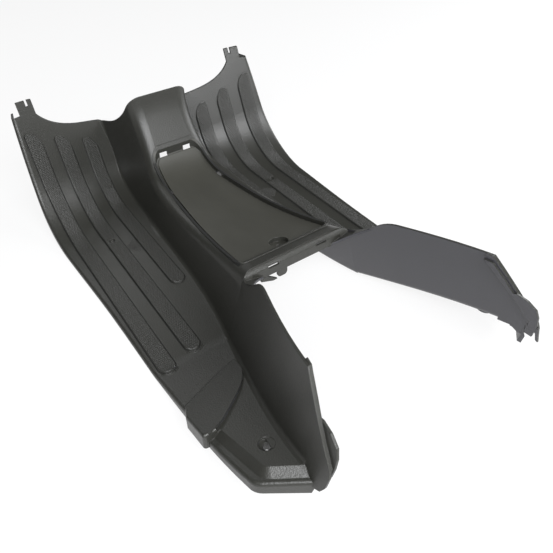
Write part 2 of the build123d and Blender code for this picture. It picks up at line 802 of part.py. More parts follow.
# both sides of the floor as a shell
with BuildPart() as wells:
    add(deck.part)
    add(border.part)
    add(panel.part)
    add(strips.part)
    add(pad.part)
    add(nose.part)
    add(under.part, mode=Mode.SUBTRACT)
    add(under_border.part, mode=Mode.SUBTRACT)
    add(under_panel.part, mode=Mode.SUBTRACT)
    add(tunnel_room.part, mode=Mode.SUBTRACT)
    add(gap.part, mode=Mode.SUBTRACT)
    add(gap_end.part, mode=Mode.SUBTRACT)
    add(rear_cup.part)
    with Locations((floor_hole_x, floor_hole_y, floor_z + strip_height)):
        CounterBoreHole(floor_hole / 2, floor_bore / 2, floor_bore_depth, depth=20)
    with Locations((rear_hole_x, rear_hole_y, ramp_top(rear_hole_y))):
        CounterBoreHole(rear_hole / 2, rear_bore / 2, rear_bore_depth, depth=30)
        Cylinder(rear_bore / 2, 10, align=(Align.CENTER, Align.CENTER, Align.MIN), mode=Mode.SUBTRACT)
    mirror(about=Plane.YZ)

# wing walls as a shell with their end flanges
with BuildPart() as walls:
    add(wings.part)
    add(heels.part)
    add(gap.part, mode=Mode.SUBTRACT)
    add(gap_end.part, mode=Mode.SUBTRACT)
    add(end_ribs.part)
    add(ends.part)
    add(clip.part)
    add(webs.part)

with BuildPart() as floorboard:
    add(wells.part)
    add(hump.part)
    add(walls.part)

# move the finished part so that its box stands on the origin
box = floorboard.part.bounding_box()
floorboard.part = floorboard.part.moved(Location((0, -box.center().Y, -box.min.Z)))
floorboard.part.label = "floorboard"
export_step(floorboard.part, "parts/floorboard.step")
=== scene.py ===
"""Dresses a moulded scooter floorboard: grained black plastic, studded tread strips and a white studio."""
from functools import reduce
from math import copysign, cos, pi, radians, sin

import bmesh
import bpy
from bpy.props import FloatProperty, FloatVectorProperty, IntProperty, PointerProperty
from mathutils import Matrix, Vector


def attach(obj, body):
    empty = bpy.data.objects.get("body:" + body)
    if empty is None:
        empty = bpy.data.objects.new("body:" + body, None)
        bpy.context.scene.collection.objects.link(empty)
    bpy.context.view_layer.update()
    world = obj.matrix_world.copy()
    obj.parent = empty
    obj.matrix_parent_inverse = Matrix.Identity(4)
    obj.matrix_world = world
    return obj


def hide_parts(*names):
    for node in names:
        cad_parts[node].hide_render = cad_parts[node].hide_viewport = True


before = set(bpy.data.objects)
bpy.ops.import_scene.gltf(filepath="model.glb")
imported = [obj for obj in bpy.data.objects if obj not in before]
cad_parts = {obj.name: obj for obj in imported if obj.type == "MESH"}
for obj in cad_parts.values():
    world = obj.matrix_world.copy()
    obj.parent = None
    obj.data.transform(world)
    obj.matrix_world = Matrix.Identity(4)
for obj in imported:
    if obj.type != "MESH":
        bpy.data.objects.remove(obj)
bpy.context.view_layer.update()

bl_info = {
    "name": "Scooter floorboard",
    "version": (1, 0, 0),
    "blender": (4, 5, 0),
    "location": "View3D > Sidebar > Floorboard",
    "description": "Finishes a moulded scooter floorboard and sets it in a white studio",
    "category": "Object",
}

# Sides of the part, which mirror each other
RIGHT = 1
LEFT = -1
DOWN = (0.0, 0.0, -1.0)
WHITE = (1.0, 1.0, 1.0, 1.0)

# Grain: cells of fine noise in a grain cell, share of the cells in the depth, and soft clouds per metre
FINE_PER_CELL = 1.7
CELL_SHARE = 0.65
CLOUD_SCALE = 16.0
GRAIN_STRENGTH = 0.8
EDGE_SAMPLES = 4

# How much the clouds and the fine noise move the tone, and how much the patterns move the roughness
CLOUD_TONE = 0.45
FINE_TONE = 0.3
ROUGHNESS_SPREAD = 0.10
SEAT_ROUGHNESS_SPREAD = 0.12
STREAK_SCALE = (30.0, 9.0, 30.0)

# Darkest and lightest share of a tone
MOULDING_SHADES = (0.84, 1.14)
SEAT_SHADES = (0.86, 1.16)
HIDDEN_FLOOR_LIT_SHADES = (0.90, 1.10)
FLOOR_SHADES = (0.98, 1.00)

# Part of a face's normal that points one way: where a mask switches, or where it starts and where it is full
SEAT_FACING_UP = 0.2
# Faces that look down, or inward behind the lip, get painted light from the white floor below and less grain
FLOOR_LIT_FACING_DOWN = (0.02, 0.20)
FLOOR_LIT_FACING_INWARD = (0.35, 0.60)
# The outward-facing mask lays painted shade on walls that face outward
SIDE_FACING_OUTWARD = (0.50, 0.85)
LINE_FACING_UP = (0.05, 0.15)

# Dark lines of painted shade round the strips and the cover seat: share of their width that is full, how far
# they cover the tone, and their added roughness
LINE_CORE = 0.4
LINE_COVER = 0.75
LINE_ROUGHNESS = 0.4

# Share of the grain that a smooth face loses, and how smooth the sides are compared with the cover seat
SMOOTHING = 0.85
SIDE_SMOOTHNESS = 0.6

# Soft edge of the masks of the cover seat, and length of its front end that has no painted shade in its
# groove
MASK_EDGE = 0.0006
GROOVE_STOP = 0.010

# Lines are drawn at this height, and each of their points looks this far down for the moulding
LINE_HEIGHT = 0.3
LOOK_LENGTH = 1.0

# Studs: spacing of the points on a dropped line, and room kept free at the ends of a strip
LINE_STEP = 0.002
END_MARGIN = 0.002
# Rows lie this share of the pitch apart, and every second row stands this share of it aside
ROW_STEP = 0.866
ROW_SHIFT = 0.5
# Height from which a row looks down for its strip, and how far off the strip's top a stud is left out
ROW_LOOK_HEIGHT = 0.02
STUD_MISS = 0.0003
# A stud is square: corner radius of its top and of its foot, as shares of the width of the foot
STUD_SIDES = 4
STUD_TOP = 0.22
STUD_FOOT = 0.7071

# Beads at the rear ends of the outer strips: reach to each side in degrees, less for each step outward
BEADED_STRIPS = 2
BEAD_STEPS = (1, 2)
BEAD_REACH = 62
BEAD_REACH_STEP = 8
BEAD_POINTS = 25
BEAD_SIDES = 8

# Trimmed wing feet: distance at which corners are joined, and how far inside its panel's edge a foot ends
MERGE_DISTANCE = 1e-6
FOOT_INSET = 0.0001

# Studio: sensor in mm, farthest sight, clouds on the floor per metre, and the lamps' aim, tint and ways
SENSOR_WIDTH = 36.0
FAR_SIGHT = 50.0
FLOOR_CLOUD_SCALE = 3.0
LAMP_AIM = (0.0, 0.0, 0.05)
LAMP_COLOUR = (0.97, 0.98, 1.0)
LAMP_WAYS = {
    "key": (-0.45, -0.60, 0.66),
    "fill": (0.75, -0.20, 0.63),
    "back": (0.0, -0.75, 0.66),
    "side": (0.95, 0.0, 0.30),
    "front": (0.0, 0.80, 0.60),
}


class Value:
    """Output of a node that takes part in Python arithmetic by adding Math nodes."""

    def __init__(self, graph, socket):
        self.graph = graph
        self.socket = socket

    def __add__(self, other):
        return self.graph.math("ADD", self, other)

    def __radd__(self, other):
        return self.graph.math("ADD", other, self)

    def __sub__(self, other):
        return self.graph.math("SUBTRACT", self, other)

    def __rsub__(self, other):
        return self.graph.math("SUBTRACT", other, self)

    def __mul__(self, other):
        return self.graph.math("MULTIPLY", self, other)

    def __rmul__(self, other):
        return self.graph.math("MULTIPLY", other, self)

    def __neg__(self):
        return self.graph.math("SUBTRACT", 0.0, self)

    def __abs__(self):
        return self.graph.math("ABSOLUTE", self)

    def __lt__(self, other):
        return self.graph.math("LESS_THAN", self, other)

    def __gt__(self, other):
        return self.graph.math("GREATER_THAN", self, other)

    def larger(self, other):
        return self.graph.math("MAXIMUM", self, other)

    def smaller(self, other):
        return self.graph.math("MINIMUM", self, other)

    def sign(self):
        return self.graph.math("SIGN", self)

    def root(self):
        return self.graph.math("SQRT", self)

    def clamped(self):
        return self.graph.node("ShaderNodeClamp", {}, {0: self})

    def ramp(self, low, high):
        """0 at low and 1 at high, with a straight run between."""
        return ((self - low) * (1 / (high - low))).clamped()


class Graph:
    """Adds nodes to a shader or geometry tree."""

    def __init__(self, tree):
        self.tree = tree

    def add(self, kind, settings=None, sockets=None):
        """One node with its settings made first, then its sockets: values, links or a list of links."""
        node = self.tree.nodes.new(kind)
        for name, value in (settings or {}).items():
            setattr(node, name, value)
        for key, value in (sockets or {}).items():
            socket = self.find(node.inputs, key)
            for item in value if isinstance(value, list) else [value]:
                if isinstance(item, Value):
                    self.tree.links.new(item.socket, socket)
                else:
                    socket.default_value = item
        return node

    def find(self, sockets, key):
        """Socket with that identifier, or else with that name or number."""
        for socket in sockets:
            if socket.identifier == key:
                return socket
        return sockets[key]

    def outputs(self, kind, settings, sockets, names):
        """Several outputs of one new node."""
        node = self.add(kind, settings, sockets)
        return [Value(self, self.find(node.outputs, name)) for name in names]

    def node(self, kind, settings=None, sockets=None, out=0):
        """One output of a new node."""
        return self.outputs(kind, settings, sockets, [out])[0]

    def math(self, operation, *values):
        return self.node("ShaderNodeMath", {"operation": operation}, dict(enumerate(values)))

    def vector(self, operation, *values):
        return self.node("ShaderNodeVectorMath", {"operation": operation}, dict(enumerate(values)))

    def scaled(self, vector, factor):
        return self.node("ShaderNodeVectorMath", {"operation": "SCALE"}, {0: vector, "Scale": factor})

    def parts(self, vector):
        """X, Y and Z of a vector."""
        return self.outputs("ShaderNodeSeparateXYZ", {}, {0: vector}, ("X", "Y", "Z"))

    def mixed(self, factor, first, second):
        """Colour between first and second."""
        return self.node(
            "ShaderNodeMix", {"data_type": "RGBA"},
            {"Factor_Float": factor, "A_Color": first, "B_Color": second}, out="Result_Color",
        )

    def shaded(self, pattern, tone, shades):
        """Tone that a pattern varies from its darkest to its lightest share."""
        ends = [(*(share * part for part in tone[:3]), 1.0) for share in shades]
        return self.mixed(pattern, *ends)

    def noise(self, place, scale, detail, roughness):
        return self.node(
            "ShaderNodeTexNoise", {},
            {"Vector": place, "Scale": scale, "Detail": detail, "Roughness": roughness},
        )

    def ray(self, target, start, way, length, names):
        """Named outputs of a look from start at a target."""
        return self.outputs(
            "GeometryNodeRaycast", {},
            {"Target Geometry": target, "Source Position": start, "Ray Direction": way, "Ray Length": length},
            names,
        )


def colour_property(name, description, default):
    return FloatVectorProperty(
        name=name, description=description, subtype="COLOR", size=4, min=0, max=1, default=(*default, 1.0),
    )


def length_property(name, description, default):
    return FloatProperty(name=name, description=description, default=default, unit="LENGTH", precision=5)


def lengths_property(name, description, default):
    return FloatVectorProperty(
        name=name, description=description, size=len(default), unit="LENGTH", precision=5, default=default,
    )


def angle_property(name, description, degrees):
    return FloatProperty(name=name, description=description, default=radians(degrees), subtype="ANGLE")


def number_property(name, description, default):
    return FloatProperty(name=name, description=description, default=default, min=0, precision=4)


def share_property(name, description, default):
    return FloatProperty(
        name=name, description=description, default=default, min=0, max=1, subtype="FACTOR",
    )


def power_property(name, description, default):
    return FloatProperty(name=name, description=description, default=default, min=0, unit="POWER")


class FloorboardFinish(bpy.types.PropertyGroup):
    """Tones, gloss and grain of the plastic, its painted light and shade, and the places where they change.
    """
    moulding: colour_property("Moulding", "Charcoal of the grained faces", (0.0300, 0.0301, 0.0258))
    seat: colour_property("Cover seat", "Tone of the panel in the tunnel top", (0.046, 0.0455, 0.038))
    tread: colour_property("Tread studs", "Tone of the studs on the strips", (0.0350, 0.0350, 0.0315))
    # Painted shade: walls that face outward take this darker tone for the shade the lamps leave on them
    sides: colour_property("Sides", "Tone of walls that face outward", (0.0220, 0.0220, 0.0186))
    # Painted light: faces that look down or inward take this lighter, bluish tone for light thrown up by the
    # white floor
    hidden_floor_lit: colour_property("Hidden faces", "Tone of faces that panels cover", (0.0400, 0.0395, 0.0445))
    # Painted shade: this near-black tone is laid as thin lines round the foot of each strip and in the groove
    # round the cover seat
    lines: colour_property("Lines", "Tone round the strips and the cover seat", (0.002, 0.002, 0.002))
    roughness: share_property("Roughness", "Roughness of the grained faces", 0.39)
    seat_roughness: share_property("Seat roughness", "Roughness of the cover seat", 0.40)
    grain: length_property("Grain", "Size of one grain cell of the moulding", 0.0017)
    grain_depth: length_property("Grain depth", "Depth of the grain", 0.00025)
    edge: length_property("Edge round", "Round on the sharp edges of the moulding", 0.0014)
    seat_rear: length_property("Seat rear", "Rear edge of the cover seat", -0.06796)
    seat_front: length_property("Seat front", "Front edge of the cover seat", 0.21904)
    seat_half_rear: length_property("Seat half rear", "Half width of the seat at its rear", 0.0665)
    seat_half_front: length_property("Seat half front", "Half width of the seat at its front", 0.0380)
    seat_groove: length_property("Seat groove", "Width of the dark groove round the cover seat", 0.0030)
    seat_floor: length_property("Seat floor", "Height above which the cover seat lies", 0.048)
    lip: length_property("Lip", "Place of the rear lip of the tunnel along the part", -0.09396)


class FloorboardTread(bpy.types.PropertyGroup):
    """Tread strips of a foot well, with their studs, lines and end beads."""
    middle: length_property("Middle strip", "Place of the middle strip's front end across the part", 0.140)
    pitch: length_property("Pitch", "Distance between the strips", 0.0407)
    width: length_property("Width", "Width of a strip", 0.022)
    skew: angle_property("Skew", "Turn of the strips away from the middle line", 0.86)
    fronts: lengths_property("Front ends", "Front ends, outermost first", (0.30504, 0.30944, 0.31404))
    rears: lengths_property("Rear ends", "Rear ends, outermost first", (-0.09796, -0.08396, 0.03104))
    front_squash: number_property("Front squash", "Length of the front round per width from above", 0.391)
    stud_pitch: length_property("Stud pitch", "Distance between studs across a strip", 0.0027)
    stud_base: length_property("Stud base", "Width of a stud at its foot", 0.0021)
    stud_height: length_property("Stud height", "Height of a stud", 0.00055)
    studs_across: IntProperty(name="Studs across", description="Most studs in a row", default=7, min=1)
    # Painted shade: half width of the dark line laid round each strip's foot
    line: length_property("Edge line", "Half width of the dark line round a strip", 0.0009)
    bead: length_property("End bead", "Thickness of the beads round the rear ends", 0.0011)
    bead_step: length_property("End bead step", "Distance from one end bead to the next", 0.0019)
    seating: length_property("Seating", "Height from which a stud looks for its strip", 0.005)


class FloorboardFoot(bpy.types.PropertyGroup):
    """Feet of the wing walls where they run out over the rear panels, and the right bolt tube."""
    front: length_property("Front", "Place along the part where the trim starts", -0.2860)
    rear: length_property("Rear", "Place along the part where a foot ends", -0.2996)
    inner: length_property("Inner side", "Nearest place of a foot to the middle", 0.150)
    outer: length_property("Outer side", "Farthest place of a foot from the middle", 0.170)
    depth: length_property("Depth", "Depth of a foot below its panel", 0.0017)
    rise: length_property("Rise", "Height of a foot over its panel", 0.0015)
    floor: length_property("Floor", "Height of the flat floor", 0.005)
    ramp: length_property("Ramp", "Place along the part where the ramps start", -0.08896)
    slope: number_property("Slope", "Rise of a ramp per length", 0.24)
    corner: lengths_property("Panel corner", "Rear corner of the right panel", (0.179, -0.27756))
    rake: number_property("Rake", "Rake of a panel's rear edge", 0.78)
    turn: number_property("Turn", "Spread of a wing wall per length to the rear", 0.1333)
    tube: lengths_property("Bolt tube", "Middle of the right bolt tube", (0.1625, -0.25696))
    tube_radius: length_property("Tube radius", "Radius that holds the whole tube", 0.0080)
    tube_end: length_property("Tube end", "Height of the lower end of the shortened tube", 0.0362)


class FloorboardStage(bpy.types.PropertyGroup):
    """Camera, floor and lamps of the white studio."""
    camera: lengths_property("Camera", "Place of the camera", (-0.32116, -0.49261, 0.52470))
    azimuth: angle_property("Azimuth", "Turn of the view to the right of straight ahead", 35.842)
    elevation: angle_property("Elevation", "Tilt of the view below level", 42.676)
    lens: number_property("Lens", "Focal length on the sensor, in mm", 36.282)
    floor: length_property("Floor", "Half the side of the floor", 6.0)
    floor_colour: colour_property("Floor colour", "White of the studio floor", (0.86, 0.86, 0.86))
    backdrop: share_property("Backdrop", "Share of plain white in the floor as it is seen", 0.85)
    sky: share_property("Sky", "Light from all round", 0.01)
    key: power_property("Key", "Power of the lamp behind the camera on the left", 28.0)
    fill: power_property("Fill", "Power of the lamp on the right", 12.0)
    back: power_property("Back", "Power of the lamp behind the part", 29.0)
    side: power_property("Side", "Power of the low lamp on the right", 14.0)
    front: power_property("Front", "Power of the lamp in front of the part", 4.0)
    lamp_size: length_property("Lamp size", "Side of each square lamp", 0.8)
    lamp_distance: length_property("Lamp distance", "Distance of each lamp from the part", 1.8)


def strip_lines(tread, side):
    """Front and rear end centres of a side's strips and their way to the rear, outermost first."""
    back = Vector((side * sin(tread.skew), -cos(tread.skew), 0.0))
    rows = []
    for row, (front_end, rear_end) in enumerate(zip(tread.fronts, tread.rears)):
        across = tread.middle + (1 - row) * tread.pitch
        front = front_end - tread.width / 2 * tread.front_squash
        start = Vector((side * across, front, LINE_HEIGHT))
        length = front - rear_end - tread.width / 2
        rows.append((start, start + length * back, back))
    return rows


def strip_foot_shade(x, y, tread):
    """1 on a thin line round the foot of each tread strip, where dark painted shade goes, and 0 elsewhere."""
    lines = []
    for start, end, back in strip_lines(tread, RIGHT):
        aside = abs(x) - start.x
        ahead = y - start.y
        run = aside * back.x + ahead * back.y
        past_front = (-run).larger(0.0) * (1 / tread.front_squash)
        past_rear = (run - (end - start).length).larger(0.0)
        along = past_rear + past_front
        across = aside * back.y - ahead * back.x
        away = (across * across + along * along).root()
        lines.append(1.0 - abs(away - tread.width / 2).ramp(LINE_CORE * tread.line, tread.line))
    return reduce(Value.larger, lines)


def moulding_masks(graph, place, finish, tread):
    """Masks of the cover seat, of the smoother downward and inward faces that get painted floor light, of the
    outward walls that get painted shade, and of the dark lines of painted shade.
    """
    x, y, z = graph.parts(place)
    across, _, up = graph.parts(graph.node("ShaderNodeNewGeometry", out="Normal"))
    outward = across * x.sign()
    taper = (finish.seat_half_front - finish.seat_half_rear) / (finish.seat_front - finish.seat_rear)
    from_rear = y - finish.seat_rear
    from_side = finish.seat_half_rear + taper * from_rear - abs(x)
    inside = from_side.smaller(from_rear.smaller(finish.seat_front - y))
    on_tunnel = z > finish.seat_floor
    seat = inside.ramp(0.0, MASK_EDGE) * on_tunnel * (up > SEAT_FACING_UP)
    below = (-up).ramp(*FLOOR_LIT_FACING_DOWN)
    inward = (-outward).ramp(*FLOOR_LIT_FACING_INWARD) * (y < finish.lip)
    # Painted shade: a dark band in the groove round the cover seat
    groove = inside.ramp(-finish.seat_groove - MASK_EDGE, -finish.seat_groove) * (inside < 0.0) * on_tunnel
    groove = groove * (y > finish.seat_rear) * (y < finish.seat_front - GROOVE_STOP)
    # Painted shade: dark lines round the foot of each strip
    edges = strip_foot_shade(x, y, tread) * up.ramp(*LINE_FACING_UP) * (inside < 0.0)
    return seat, below.larger(inward), outward.ramp(*SIDE_FACING_OUTWARD), edges.larger(groove)


def emptied_graph(owner):
    """Graph of a new material's or world's tree, without its nodes."""
    owner.use_nodes = True
    owner.node_tree.nodes.clear()
    return Graph(owner.node_tree)


def moulding_material(name, finish, tone, tread=None):
    """Grained charcoal plastic, and with a tread also its cover seat, smoother downward and inward faces with
    painted floor light, outward walls with painted shade, and dark lines of painted shade.
    """
    material = bpy.data.materials.new(name)
    graph = emptied_graph(material)
    place = graph.node("ShaderNodeTexCoord", out="Object")
    cells = graph.node(
        "ShaderNodeTexVoronoi", {"feature": "F1"}, {"Vector": place, "Scale": 1 / finish.grain},
    )
    fine = graph.noise(place, FINE_PER_CELL / finish.grain, detail=2.0, roughness=0.6)
    cloud = graph.noise(place, CLOUD_SCALE, detail=3.0, roughness=0.55)
    grain = CELL_SHARE * cells + (1 - CELL_SHARE) * fine
    colour = graph.shaded(CLOUD_TONE * cloud + FINE_TONE * fine, tone, MOULDING_SHADES)
    rough = finish.roughness + ROUGHNESS_SPREAD * (cloud - 0.5) + ROUGHNESS_SPREAD * (grain - 0.5)
    height = grain
    if tread:
        seat, hidden_floor_lit, sides, lines = moulding_masks(graph, place, finish, tread)
        streaks = graph.vector("MULTIPLY", place, STREAK_SCALE)
        streak = graph.noise(streaks, 1.0, detail=4.0, roughness=0.6)
        # Painted shade: walls that face outward take the darker side tone
        colour = graph.mixed(sides, colour, tuple(finish.sides))
        # Painted shade: dark lines round the strips and in the seat groove
        colour = graph.mixed(LINE_COVER * lines, colour, tuple(finish.lines))
        colour = graph.mixed(seat, colour, graph.shaded(streak, finish.seat, SEAT_SHADES))
        # Painted light: faces that look down or inward take a lighter bluish tone for light from the white
        # floor
        colour = graph.mixed(hidden_floor_lit, colour, graph.shaded(cloud, finish.hidden_floor_lit, HIDDEN_FLOOR_LIT_SHADES))
        seat_rough = finish.seat_roughness + SEAT_ROUGHNESS_SPREAD * (streak - 0.5)
        rough = rough + seat * (seat_rough - rough) + LINE_ROUGHNESS * lines
        smooth = seat.larger(hidden_floor_lit).larger(SIDE_SMOOTHNESS * sides)
        height = grain * (1.0 - SMOOTHING * smooth)
    rounded = graph.node("ShaderNodeBevel", {"samples": EDGE_SAMPLES}, {"Radius": finish.edge})
    bump = graph.node(
        "ShaderNodeBump", {},
        {"Strength": GRAIN_STRENGTH, "Distance": finish.grain_depth, "Height": height, "Normal": rounded},
    )
    shader = graph.node(
        "ShaderNodeBsdfPrincipled", {}, {"Base Color": colour, "Roughness": rough, "Normal": bump},
    )
    graph.add("ShaderNodeOutputMaterial", {}, {"Surface": shader})
    return material


def line_mesh(name, lines):
    """Mesh of open lines through the given points."""
    points = []
    edges = []
    for line in lines:
        first = len(points)
        points.extend(line)
        edges.extend((i, i + 1) for i in range(first, first + len(line) - 1))
    mesh = bpy.data.meshes.new(name)
    mesh.from_pydata(points, edges, [])
    return mesh


def new_tree(name, inputs):
    """Graph of a geometry tree with a geometry socket at each end, and the values of its inputs."""
    tree = bpy.data.node_groups.new(name, "GeometryNodeTree")
    tree.interface.new_socket("Geometry", in_out="INPUT", socket_type="NodeSocketGeometry")
    tree.interface.new_socket("Geometry", in_out="OUTPUT", socket_type="NodeSocketGeometry")
    for label, kind in inputs.items():
        tree.interface.new_socket(label, in_out="INPUT", socket_type="NodeSocket" + kind)
    graph = Graph(tree)
    source = graph.add("NodeGroupInput")
    given = {socket.name: Value(graph, socket) for socket in source.outputs if socket.name}
    return graph, given


def start_lines(graph, given):
    """Moulding that a tree looks for, and the tree's lines as a curve."""
    shell = graph.node("GeometryNodeObjectInfo", {}, {"Object": given["Shell"]}, out="Geometry")
    curve = graph.node("GeometryNodeMeshToCurve", {}, {"Mesh": given["Geometry"]})
    return shell, curve


def spaced(graph, curve, length):
    """Curve with its points a length apart."""
    return graph.node("GeometryNodeResampleCurve", {"mode": "LENGTH"}, {"Curve": curve, "Length": length})


def dropped(graph, curve, shell):
    """Curve with its points dropped straight down on the shell."""
    place = graph.node("GeometryNodeInputPosition")
    [under] = graph.ray(shell, place, DOWN, LOOK_LENGTH, ["Hit Position"])
    return graph.node("GeometryNodeSetPosition", {}, {"Geometry": curve, "Position": under})


def close_tree(graph, geometry, material):
    """Ends a tree in a plain mesh with its material."""
    real = graph.node("GeometryNodeRealizeInstances", {}, {"Geometry": geometry})
    done = graph.node("GeometryNodeSetMaterial", {}, {"Geometry": real, "Material": material})
    graph.add("NodeGroupOutput", {}, {0: done})


def plain_piece(name, mesh, tree, values):
    """Runs the tree on a mesh and keeps the result as a plain mesh piece on the part."""
    carrier = bpy.data.objects.new(name + "_path", mesh)
    bpy.context.scene.collection.objects.link(carrier)
    modifier = carrier.modifiers.new("Nodes", "NODES")
    modifier.node_group = tree
    for item in tree.interface.items_tree:
        if item.in_out == "INPUT" and item.name in values:
            modifier[item.identifier] = values[item.name]
    depsgraph = bpy.context.evaluated_depsgraph_get()
    made = bpy.data.meshes.new_from_object(carrier.evaluated_get(depsgraph))
    carrier.modifiers.remove(modifier)
    bpy.data.objects.remove(carrier)
    if not made.polygons:
        raise RuntimeError(name + " came out empty")
    made.name = name
    piece = bpy.data.objects.new(name, made)
    bpy.context.scene.collection.objects.link(piece)
    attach(piece, "root")


class FLOORBOARD_OT_finish_moulding(bpy.types.Operator):
    """Give the moulding its grained plastic, with a smooth cover seat, smoother downward and inward faces
    with painted floor light, painted shade on outward walls and dark lines of painted shade
    """
    bl_idname = "floorboard.finish_moulding"
    bl_label = "Finish Moulding"

    def execute(self, context):
        finish = context.scene.floorboard_finish
        tread = context.scene.floorboard_tread
        material = moulding_material("charcoal_moulding", finish, finish.moulding, tread)
        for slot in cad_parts["floorboard"].material_slots:
            slot.material = material
        return {"FINISHED"}


class FLOORBOARD_OT_add_tread_studs(bpy.types.Operator):
    """Cover the tops of the tread strips with rows of small studs"""
    bl_idname = "floorboard.add_tread_studs"
    bl_label = "Add Tread Studs"

    def execute(self, context):
        finish = context.scene.floorboard_finish
        tread = context.scene.floorboard_tread
        graph, given = new_tree("tread_studs", {
            "Shell": "Object", "Pitch": "Float", "Base": "Float", "Height": "Float", "Across": "Int",
            "Seating": "Float", "Material": "Material",
        })
        points, facing, along = self.stud_places(graph, given)
        turn = graph.node(
            "FunctionNodeAxesToRotation", {"primary_axis": "Z", "secondary_axis": "X"},
            {"Primary Axis": facing, "Secondary Axis": along},
        )
        studs = graph.node(
            "GeometryNodeInstanceOnPoints", {},
            {"Points": points, "Instance": self.stud(graph, given), "Rotation": turn},
        )
        close_tree(graph, studs, given["Material"])
        reach = tread.width / 2 - END_MARGIN
        lines = []
        for side in (RIGHT, LEFT):
            for start, end, back in strip_lines(tread, side):
                lines.append([start - reach * tread.front_squash * back, end + reach * back])
        plain_piece("tread_studs", line_mesh("strip_lines", lines), graph.tree, {
            "Shell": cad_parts["floorboard"], "Pitch": tread.stud_pitch, "Base": tread.stud_base,
            "Height": tread.stud_height, "Across": tread.studs_across, "Seating": tread.seating,
            "Material": moulding_material("tread_plastic", finish, finish.tread),
        })
        return {"FINISHED"}

    def stud_places(self, graph, given):
        """Points of the studs, the way that each stud faces and the way along its strip."""
        shell, curve = start_lines(graph, given)
        laid = dropped(graph, spaced(graph, curve, LINE_STEP), shell)
        points, tangent = graph.outputs(
            "GeometryNodeCurveToPoints", {"mode": "EVALUATED"},
            {"Curve": spaced(graph, laid, ROW_STEP * given["Pitch"])}, ("Points", "Tangent"),
        )
        place = graph.node("GeometryNodeInputPosition")
        above = graph.vector("ADD", place, (0.0, 0.0, ROW_LOOK_HEIGHT))
        [normal] = graph.ray(shell, above, DOWN, LOOK_LENGTH, ["Hit Normal"])
        parity = graph.math("MODULO", graph.node("GeometryNodeInputIndex"), 2.0)
        points, along = self.stored(graph, points, "along", "FLOAT_VECTOR", tangent)
        points, up = self.stored(graph, points, "up", "FLOAT_VECTOR", normal)
        points, odd = self.stored(graph, points, "odd", "FLOAT", parity)
        points, copy = graph.outputs(
            "GeometryNodeDuplicateElements", {"domain": "POINT"},
            {"Geometry": points, "Amount": given["Across"]}, ("Geometry", "Duplicate Index"),
        )
        across = graph.vector("NORMALIZE", graph.vector("CROSS_PRODUCT", along, up))
        middle = 0.5 * (given["Across"] - 1.0)
        shift = graph.scaled(across, (copy - middle + ROW_SHIFT * (odd - 0.5)) * given["Pitch"])
        points = graph.node("GeometryNodeSetPosition", {}, {"Geometry": points, "Offset": shift})
        lifted = graph.vector("ADD", place, graph.scaled(up, given["Seating"]))
        hit, seat, facing, gap = graph.ray(
            shell, lifted, graph.scaled(up, -1.0), 2.0 * given["Seating"],
            ("Is Hit", "Hit Position", "Hit Normal", "Hit Distance"),
        )
        missed = (abs(gap - given["Seating"]) > STUD_MISS).larger(1.0 - hit)
        points = graph.node(
            "GeometryNodeDeleteGeometry", {"domain": "POINT"}, {"Geometry": points, "Selection": missed},
        )
        points = graph.node("GeometryNodeSetPosition", {}, {"Geometry": points, "Position": seat})
        return points, facing, along

    def stored(self, graph, points, name, kind, value):
        """Points that carry a value under a name, and that value."""
        points = graph.node(
            "GeometryNodeStoreNamedAttribute", {"data_type": kind, "domain": "POINT"},
            {"Geometry": points, "Name": name, "Value": value},
        )
        return points, graph.node("GeometryNodeInputNamedAttribute", {"data_type": kind}, {"Name": name})

    def stud(self, graph, given):
        """Square stud with leaning flanks and a flat top."""
        top = STUD_TOP * given["Base"]
        flanks = graph.node(
            "GeometryNodeMeshCone", {"fill_type": "NONE"},
            {"Vertices": STUD_SIDES, "Radius Top": top, "Radius Bottom": STUD_FOOT * given["Base"],
             "Depth": given["Height"]},
        )
        cap = graph.node(
            "GeometryNodeMeshCircle", {"fill_type": "NGON"}, {"Vertices": STUD_SIDES, "Radius": top},
        )
        lift = graph.node("ShaderNodeCombineXYZ", {}, {"Z": given["Height"]})
        cap = graph.node("GeometryNodeTransform", {}, {"Geometry": cap, "Translation": lift})
        return graph.node("GeometryNodeJoinGeometry", {}, {0: [flanks, cap]})


class FLOORBOARD_OT_add_strip_ends(bpy.types.Operator):
    """Lay the stepped beads round the rear ends of the two outer tread strips"""
    bl_idname = "floorboard.add_strip_ends"
    bl_label = "Add Strip Ends"

    def execute(self, context):
        finish = context.scene.floorboard_finish
        tread = context.scene.floorboard_tread
        graph, given = new_tree("strip_ends", {"Shell": "Object", "Bead": "Float", "Material": "Material"})
        shell, curve = start_lines(graph, given)
        ring = graph.node(
            "GeometryNodeCurvePrimitiveCircle", {}, {"Resolution": BEAD_SIDES, "Radius": 0.5 * given["Bead"]},
        )
        bead = graph.node(
            "GeometryNodeCurveToMesh", {},
            {"Curve": dropped(graph, curve, shell), "Profile Curve": ring, "Fill Caps": True},
        )
        smooth = graph.node("GeometryNodeSetShadeSmooth", {}, {"Geometry": bead})
        close_tree(graph, smooth, given["Material"])
        lines = []
        for side in (RIGHT, LEFT):
            for _, end, back in strip_lines(tread, side)[:BEADED_STRIPS]:
                lines.extend(self.end_line(tread, end, back, step) for step in BEAD_STEPS)
        plain_piece("strip_ends", line_mesh("end_lines", lines), graph.tree, {
            "Shell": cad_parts["floorboard"], "Bead": tread.bead,
            "Material": moulding_material("end_plastic", finish, finish.moulding),
        })
        return {"FINISHED"}

    def end_line(self, tread, end, back, step):
        """Points of the bead that lies that many steps outside the end of a strip."""
        across = Vector((-back.y, back.x, 0.0))
        radius = tread.width / 2 + step * tread.bead_step
        reach = radians(BEAD_REACH - BEAD_REACH_STEP * step)
        turns = [reach * (2 * i / (BEAD_POINTS - 1) - 1) for i in range(BEAD_POINTS)]
        return [end + radius * (cos(turn) * back + sin(turn) * across) for turn in turns]


